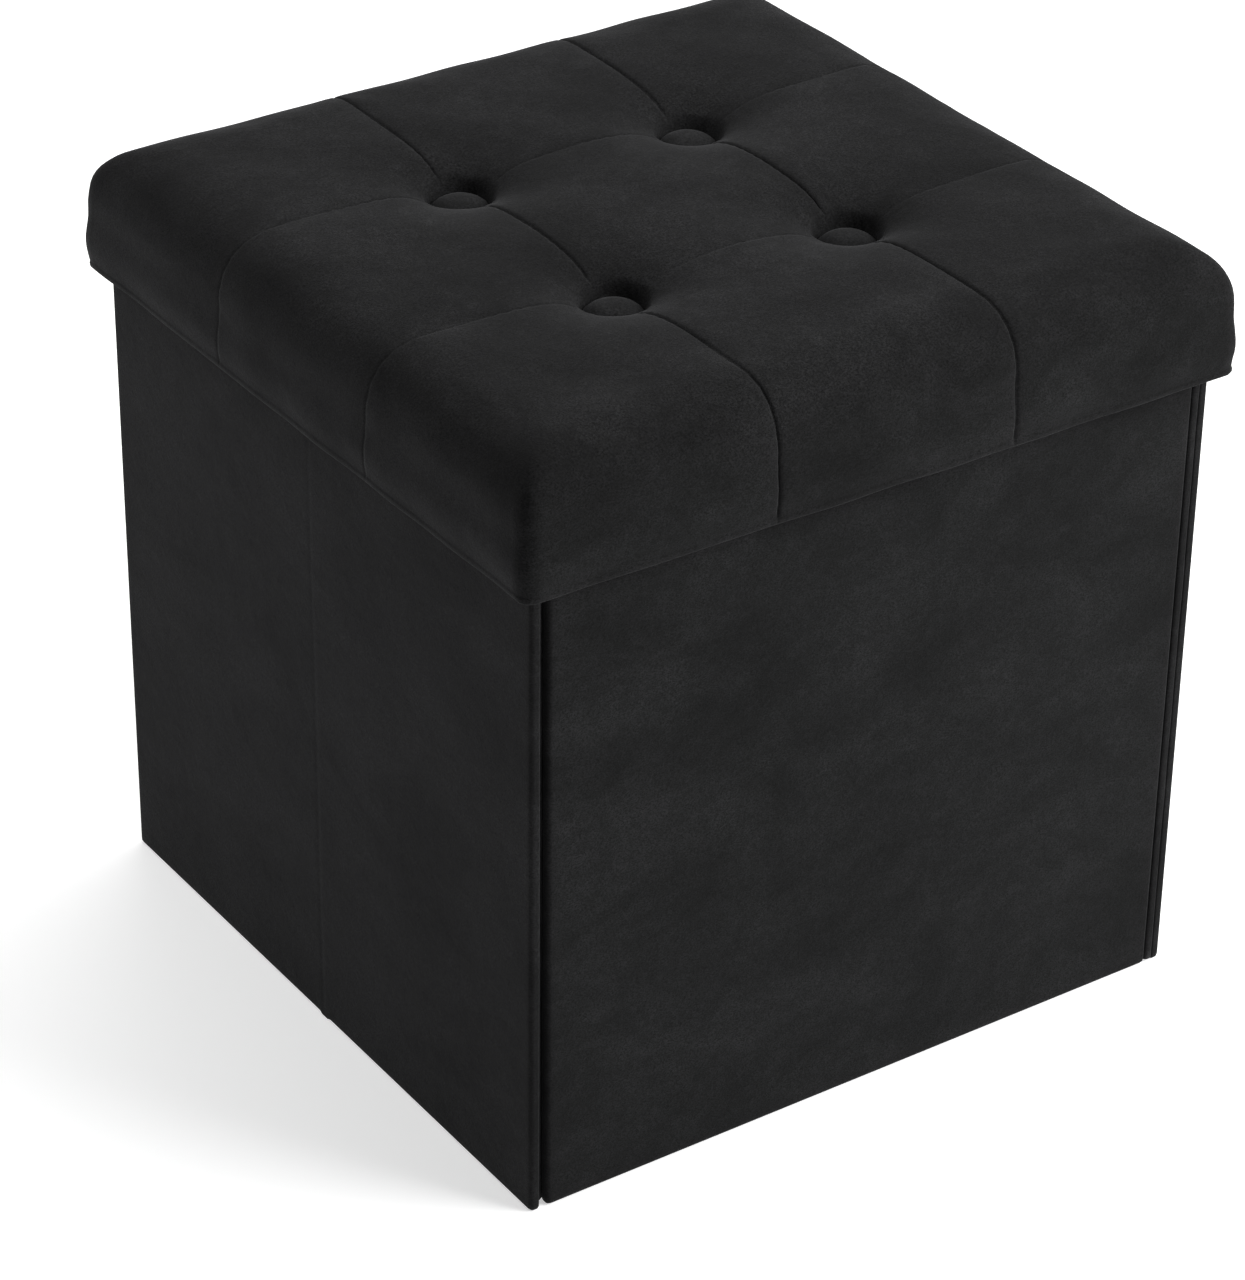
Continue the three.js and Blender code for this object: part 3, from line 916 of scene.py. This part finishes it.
def add_beads(name, runs, radius, material, flat=0.55):
    """Short round bars from each start to each end, as stitches and staples are.

    The flatter a bar, the more of its length has its full radius.
    """
    points, faces = [], []
    power = 2 / (1 - flat)
    for start, end in runs:
        start = Vector(start)
        along = Vector(end) - start
        across = along.cross(Vector((0, 0, 1)))
        across = (across if across.length > 1e-9 else Vector((1, 0, 0))).normalized()
        other = along.cross(across).normalized()
        first = len(points)
        for row in range(BEAD_ROWS):
            share = row / (BEAD_ROWS - 1)
            thick = radius * max(math.sqrt(1 - abs(2 * share - 1) ** power), BEAD_TIP)
            for side in range(BEAD_SIDES):
                angle = 2 * math.pi * side / BEAD_SIDES
                offset = across * math.cos(angle) + other * math.sin(angle)
                points.append(start + along * share + offset * thick)
        rows = np.arange(first, len(points)).reshape(BEAD_ROWS, BEAD_SIDES)
        for low, high in zip(rows, rows[1:]):
            faces += list(turned_band(low, high))
        faces += [rows[0][::-1], rows[-1]]
    return add_object(name, [list(point) for point in points], faces, material)


def stitches(start, end, pitch=4 * MM, fill=0.62):
    """The start and end of each stitch of a row from start to end."""
    start, end = np.array(start, float), np.array(end, float)
    count = max(1, round(np.linalg.norm(end - start) / pitch))
    step = (end - start) / count
    gap = (1 - fill) / 2
    return [(start + step * (k + gap), start + step * (k + gap + fill)) for k in range(count)]


def stitched_loop(corners, **spacing):
    """The stitches of a closed row round some corners."""
    rows = []
    for first, second in zip(corners, corners[1:] + corners[:1]):
        rows += stitches(first, second, **spacing)
    return rows


def rectangle(half_u, half_v, height):
    """The corners of a rectangle round the middle, in order."""
    return [(-half_u, -half_v, height), (half_u, -half_v, height),
            (half_u, half_v, height), (-half_u, half_v, height)]


BUTTON_SIDE = 4.3 * MM  # the height at which a button's rim turns into its dome
BUTTON_STEPS = 96
BUTTON_TILT = 0.04  # the most that a button leans, in radians
GATHER_DEPTH = 0.32 * MM  # of the pleats round a button's rim
GATHER_HEIGHT = 1.9 * MM
GATHER_REACH = 2.4 * MM


def button_profile(height):
    """A button's section from its back round the rim and over the dome: (radius, z)."""
    rim = button_radius - 1.2 * MM
    turn = button_radius - 0.3 * MM
    profile = [(0.0, 0.2 * MM), (0.55 * rim, 0.1 * MM), (rim, 0.0), (turn, 0.7 * MM)]
    profile += [(button_radius, 2.1 * MM), (turn, 3.4 * MM), (rim, 4.2 * MM)]
    for share in np.linspace(0.93, 0.0, 15):
        profile.append((rim * share, BUTTON_SIDE + (height - BUTTON_SIDE) * (1 - share ** 2.8)))
    return profile


def add_button(name):
    """A flat-domed button in gathered velvet, slightly tilted in its dimple."""
    low, high = button_boxes[name]
    centre = (low + high) / 2
    profile = button_profile(high.z - low.z)
    random = np.random.default_rng(BUTTONS.index(name) + 11)
    angles = np.arange(BUTTON_STEPS) * 2 * math.pi / BUTTON_STEPS
    phase = random.uniform(0, 2 * math.pi, 3)
    pleats = 0.5 * np.sin(17 * angles + phase[0]) + 0.3 * np.sin(23 * angles + phase[1])
    points = [(0, 0, profile[0][1])]
    for radius, z in profile[1:-1]:
        gather = GATHER_DEPTH * max(0.0, 1 - abs(z - GATHER_HEIGHT) / GATHER_REACH)
        ring = radius + gather * (radius / button_radius) ** 4 * pleats
        points += list(np.column_stack([ring * np.cos(angles), ring * np.sin(angles), np.full_like(ring, z)]))
    points.append((0, 0, profile[-1][1]))
    loops = 1 + np.arange(len(points) - 2).reshape(-1, BUTTON_STEPS)
    faces = [(0, after, this) for this, after in zip(loops[0], np.roll(loops[0], -1))]
    for lower, upper in zip(loops, loops[1:]):
        faces += list(turned_band(lower, upper))
    faces += [(this, after, len(points) - 1) for this, after in zip(loops[-1], np.roll(loops[-1], -1))]
    button = add_object(f"velvet_button_{name}", np.array(points), faces, velvet)
    tilt = Matrix.Identity(4)
    for axis in "XY":
        tilt = tilt @ Matrix.Rotation(random.uniform(-BUTTON_TILT, BUTTON_TILT), 4, axis)
    button.data.transform(Matrix.Translation((centre.x, centre.y, low.z + BUTTON_LIFT)) @ tilt)
    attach(button, "lid")
    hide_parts(f"button_{name}")


# ---- Walls ----


EDGE = 2.2 * MM
WALL_SKIN = 0.9 * MM
TURN_IN = 3.5 * MM  # the velvet turns in this far between the board and the lining
TURN_IN_LIFT = 0.12 * MM
WALL_CROWN = 0.35 * MM
CREASE_LINES = (0.8, 1.6, 2.4, 3.2, 4.2, 5.5, 7, 9)  # beside a crease, in mm
CREASE_DENT = 0.12 * MM
CREASE_DENT_REACH = 1.6 * MM
CREASE_HEM_SHARE = 0.12  # at a crease the cover's hem is this much of its depth elsewhere
CREASE_SKIN_SHARE = 0.5


def panel_rings():
    """The section of a wall's velvet over its edge to the inside."""
    return rounded_edge(EDGE, (18, 36, 54, 72, 90), pinched=True) + [
        (EDGE, (EDGE + panel_depth) / 2, EDGE),
        (EDGE, panel_depth - 0.6 * MM, EDGE),
        (EDGE - 0.25 * MM, panel_depth - 0.1 * MM, EDGE),
        (EDGE - 1.2 * MM, panel_depth + TURN_IN_LIFT, 0.5 * EDGE),
        (EDGE - TURN_IN, panel_depth + TURN_IN_LIFT, 0),
    ]


def add_wall_cover(name, place, width, height, seed, crease=False):
    """Velvet around a wall panel. `place` takes local u, v, w (out) to the row frame."""
    us = edge_lines(width / 2 - EDGE)
    if crease:
        beside = np.array(CREASE_LINES) * MM
        clear = us[np.abs(us) > beside[-1] + 3 * MM]
        us = np.sort(np.concatenate([clear, -beside, [0.0], beside]))
    wrap = Wrap(us, edge_lines(height / 2 - EDGE), panel_rings())
    points = wrap.points.copy()
    inside_u = 1 - (np.abs(points[:, 0]) / (width / 2)) ** 6
    inside_v = 1 - (np.abs(points[:, 1]) / (height / 2)) ** 6
    face = np.clip(inside_u * inside_v, 0, 1) * (wrap.side < 0)
    points[:, 2] += face * (WALL_CROWN + wobble(points, 110 * MM, 0.28 * MM, seed))
    skin = np.full(len(points), WALL_SKIN)
    if crease:
        dent = CREASE_DENT * np.exp(-((points[:, 0] / CREASE_DENT_REACH) ** 2))
        points[:, 2] -= dent * np.clip(1 + points[:, 2] / (2 * MM), 0, 1)
        from_crease = np.clip((np.abs(points[:, 0]) - rear_low.y) / (2 * MM), 0, 1)
        hem = CREASE_HEM_SHARE + (1 - CREASE_HEM_SHARE) * from_crease
        points[:, 2] *= np.where(wrap.side < 0, 1, hem)
        skin *= CREASE_SKIN_SHARE + (1 - CREASE_SKIN_SHARE) * from_crease
    shell_points, faces = wrap.shell(points, skin)
    return add_object(name, placed(shell_points, place), faces, velvet)


def panel_place(centre, turn):
    """The matrix from a panel's local frame, face outwards, to the row frame."""
    stand = Matrix(((1, 0, 0), (0, 0, -1), (0, 1, 0))).to_4x4()
    return Matrix.Translation(centre) @ Matrix.Rotation(turn, 4, "Z") @ stand


def add_walls():
    """The velvet of the four walls. A side wall's runs unbroken over its crease."""
    middle = wall_height / 2
    end_width = front_high.x - front_low.x
    back_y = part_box("back_cover")[1].y
    for end, y, turn, seed in (("front", front_low.y, 0, 21), ("back", back_y, math.pi, 22)):
        place = panel_place((0, y, middle), turn)
        cover = add_wall_cover(f"velvet_{end}", place, end_width, wall_height, seed)
        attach(cover, f"{end}_wall")
        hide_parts(f"{end}_cover")
    side_width = rear_high.y - left_low.y
    for side, sign, seed in (("left", -1, 23), ("right", 1, 24)):
        x = sign * -left_low.x
        place = panel_place((x, 0, middle), sign * math.pi / 2)
        cover = add_wall_cover(f"velvet_{side}", place, side_width, wall_height, seed, crease=True)
        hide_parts(f"{side}_front_cover", f"{side}_rear_cover", f"{side}_crease_strip")
        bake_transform(cover)


WEB_SKIN = 0.45 * MM
WEB_COLUMNS = 22
WEB_ROWS = 70


def add_web(name, outline, sides, low, high, seed, material):
    """A strip of fabric standing on an outline of x, y places for the corner at +x, +y.

    `sides` are the signs of x and y that take it to another corner.
    """
    outline = np.array(outline) * sides
    if sides[0] * sides[1] > 0:
        outline = outline[::-1]
    lengths = np.concatenate([[0], np.cumsum(np.linalg.norm(np.diff(outline, axis=0), axis=1))])
    shares = np.linspace(0, lengths[-1], WEB_COLUMNS)
    path = np.column_stack([np.interp(shares, lengths, column) for column in outline.T])
    for _ in range(3):
        path[1:-1] = (path[:-2] + 2 * path[1:-1] + path[2:]) / 4
    grid = np.array([(x, y, z) for z in np.linspace(low, high, WEB_ROWS) for x, y in path])
    index = np.arange(len(grid)).reshape(WEB_ROWS, WEB_COLUMNS)
    faces = grid_faces(index.T)
    normals = normals_of(grid, faces)
    grid = grid + normals * wobble(grid, 40 * MM, 0.1 * MM, seed)[:, None]
    rim = np.concatenate([index[0, :-1], index[:-1, -1], index[-1, :0:-1], index[:0:-1, 0]])
    skin = normals * WEB_SKIN / 2
    points, faces = closed_shell(grid + skin, grid - skin, faces, rim)
    return add_object(name, points, faces, material)


def add_crease_edges():
    """The lining fabric folded over the boards' edges inside each side wall's crease."""
    for side, sign in (("left", -1), ("right", 1)):
        low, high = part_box(f"{side}_front_board")
        inner = min(abs(low.x), abs(high.x)) - 0.15 * MM
        outer = max(abs(low.x), abs(high.x)) + 0.2 * MM
        edge = -high.y - 0.5 * MM
        turn = 0.6 * MM
        outline = [(inner, edge + 5 * MM), (inner, edge + turn), (inner + turn, edge), (outer, edge)]
        for end, sy in (("front", -1), ("rear", 1)):
            web = add_web(f"crease_edge_{side}_{end}", outline, (sign, sy),
                          2 * MM, wall_height - 2 * MM, 52, lining)
            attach(web, f"{side}_{end}_wall")


def corner_outline(inner_x, inner_y, end_x, opened):
    """The path of a corner's fabric from the side wall's inside to the end wall's inside.

    It dips into the slit between them, or is nearly flush where the corner is opened.
    """
    gap = 0.3 * MM
    middle = (inner_x + end_x) / 2
    if opened:
        path = [(inner_x + 2.2 * gap, inner_y + 4.8 * MM), (middle, inner_y + 5.2 * MM),
                (end_x + 0.4 * gap, inner_y + 4.9 * MM), (end_x + 1.2 * gap, inner_y)]
    else:
        path = [(inner_x - gap, inner_y - 6 * MM), (inner_x - gap, inner_y - 1 * MM),
                (inner_x - 2 * gap, inner_y + 0.6 * MM), (middle, inner_y + 1.6 * MM),
                (end_x + 1.6 * gap, inner_y + 0.6 * MM)]
    return path + [(end_x - gap, inner_y - gap), (end_x - 6 * MM, inner_y - gap)]


def add_corner_webs():
    """The fabric hinges down the four corners, seen at the bottom of the slits."""
    inner_x = -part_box("left_front_lining")[1].x
    inner_y = -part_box("front_lining")[1].y
    end_x = front_high.x
    low = 1.5 * MM
    for side, sx in (("left", -1), ("right", 1)):
        for end, sy, wall in (("front", -1, "front_wall"), ("rear", 1, "back_wall")):
            opened = (side, end) == ("right", "front")
            outline = corner_outline(inner_x, inner_y, end_x, opened)
            web = add_web(f"corner_web_{side}_{end}", outline, (sx, sy),
                          low, wall_height - low, 51, velvet)
            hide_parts(f"{side}_{end}_hinge_strip")
            if opened:
                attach(web, wall)
                continue
            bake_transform(web)


HEM_DENT = 0.15 * MM  # of a sheet along its row of stitches
HEM_DENT_REACH = 1.5 * MM


def add_sheet(name, place, width, height, seed):
    """A sheet of lining on the inside of a wall. Returns it and its row of stitches."""
    edge = 0.5 * SHEET
    half = np.array([width, height]) / 2 - edge
    wrap = Wrap(hem_lines(half[0]), hem_lines(half[1]), rounded_edge(edge, (45, 90)))
    points = wrap.points.copy()
    size = np.abs(points[:, :2])
    to_hem = np.min(np.abs(half - HEM_INSET - size), axis=1)
    inside = wrap.side < 0
    points[:, 2] -= inside * HEM_DENT * np.exp(-((to_hem / HEM_DENT_REACH) ** 2))
    middle = np.prod(np.clip(1 - (size / half) ** 8, 0, 1), axis=1)
    points[:, 2] += inside * middle * np.maximum(wobble(points, 60 * MM, 0.2 * MM, seed), -0.05 * MM)
    under = points.copy()
    under[:, 2] = np.minimum(points[:, 2] - 0.1 * MM, -SHEET * 0.9)
    shell_points, faces = wrap.closed(points, under)
    sheet = add_object(name, placed(shell_points, place), faces, lining)
    return sheet, stitched_loop(list(placed(np.array(rectangle(*(half - HEM_INSET), 0.0)), place)))


def add_wall_linings():
    """The six sheets of lining inside the walls, each with its row of stitches."""
    walls = {"front": (0, -1), "back": (0, 1), "left_front": (-1, 0), "left_rear": (-1, 0),
             "right_front": (1, 0), "right_rear": (1, 0)}
    for number, (name, (sx, sy)) in enumerate(walls.items()):
        low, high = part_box(f"{name}_lining")
        centre = (low + high) / 2
        if sx:
            centre.x = high.x if sx < 0 else low.x
            width = high.y - low.y
            turn = -sx * math.pi / 2
        else:
            centre.y = high.y if sy < 0 else low.y
            width = high.x - low.x
            turn = math.pi if sy < 0 else 0.0
        place = panel_place(centre, turn)
        sheet, rows = add_sheet(f"lining_{name}", place, width, high.z - low.z, 60 + number)
        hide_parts(f"{name}_lining")
        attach(sheet, f"{name}_wall")
        seam = add_beads(f"stitches_{name}", rows, THREAD_RADIUS, thread)
        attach(seam, f"{name}_wall")


# ---- Base ----


POCKET_SKIN = 0.35 * MM
POCKET_SHIFT = 4 * MM  # the pocket's stitches are this much nearer to its edge than a sheet's
RIBBON_RISE = 4.0 * MM
RIBBON_PITCH = 2.4 * MM


def add_base_pocket():
    """The base board's lined pocket, sewn round its edge."""
    size = base_high - base_low
    edge = size.z / 2
    half = np.array(size.xy) / 2 - edge
    wrap = Wrap(hem_lines(half[0]), hem_lines(half[1]), rounded_edge(edge, (22, 45, 68, 90)))
    points = wrap.points.copy()
    points[:, 2] += edge + (wrap.side < 0) * wobble(points, 80 * MM, 0.12 * MM, 71)
    outer, faces = wrap.pillow(points)
    outer[:, 2] = np.maximum(outer[:, 2], -edge)
    inner = outer - normals_of(outer, faces) * POCKET_SKIN
    both = np.concatenate([outer, inner]) + (base_low + base_high) / 2
    faces = np.concatenate([faces, faces[:, ::-1] + len(outer)])
    pocket = add_object("base_pocket", both, faces, lining)
    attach(pocket, "base")
    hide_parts("base_cover")
    corners = rectangle(*(half - HEM_INSET + POCKET_SHIFT), base_high.z + 0.1 * MM)
    seam = add_beads("stitches_base", stitched_loop(corners), 0.25 * MM, thread)
    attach(seam, "base")


def add_ribbon():
    """The ribbon on the base, raised in the middle and sewn down in a crossed box at each end."""
    size = ribbon_high - ribbon_low
    centre = (ribbon_low + ribbon_high) / 2
    edge = size.z / 2
    half = (size.x / 2 - edge, size.y / 2 - edge)
    us = np.linspace(-half[0], half[0], 16)
    vs = np.linspace(-half[1], half[1], 60)
    wrap = Wrap(us, vs, rounded_edge(edge, (30, 60, 90)))
    points = wrap.points + (0, 0, edge)
    strap, faces = wrap.pillow(points)
    share = np.clip(np.abs(strap[:, 1]) / (0.62 * half[1]), 0, 1)
    strap[:, 2] += RIBBON_RISE * (1 - share ** 2) ** 2
    strap[:, 2] += 0.15 * MM * np.sin(strap[:, 0] / half[0] * math.pi)
    woven = add_object("pull_ribbon_woven", strap + centre, faces, ribbon)
    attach(woven, "base")
    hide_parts("pull_ribbon")
    rows = []
    top = ribbon_high.z + 0.15 * MM
    for sign in (-1, 1):
        box = rectangle(0.75 * half[0], 0.11 * half[1], top)
        places = [(x + centre.x, sign * (y + 0.81 * half[1]) + centre.y, z) for x, y, z in box]
        rows += stitched_loop(places, pitch=RIBBON_PITCH)
        for first, second in (places[::2], places[1::2]):
            rows += stitches(first, second, pitch=RIBBON_PITCH)
    sewn = add_beads("stitches_ribbon", rows, 0.2 * MM, thread)
    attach(sewn, "base")


# ---- Making ----

velvet = velvet_material()
lining = lining_material()
ribbon = ribbon_material()
fibreboard = fibreboard_material()
foam = foam_material()
twine = twine_material()
plastic = washer_material()
steel = steel_material()
thread = thread_material()


def dress_cad_nodes():
    """Gives the CAD pieces that stay their finishes."""
    finishes = {"board": fibreboard, "skirt": fibreboard, "twine": twine, "washer": plastic}
    for name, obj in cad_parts.items():
        for word, finish in finishes.items():
            if word in name:
                obj.data.materials.clear()
                obj.data.materials.append(finish)


add_camera()
add_studio()
dress_cad_nodes()
add_lid_cover()
add_lid_foam()
for button_name in BUTTONS:
    add_button(button_name)
add_lid_lining()
add_walls()
add_corner_webs()
add_crease_edges()
add_wall_linings()
add_base_pocket()
add_ribbon()
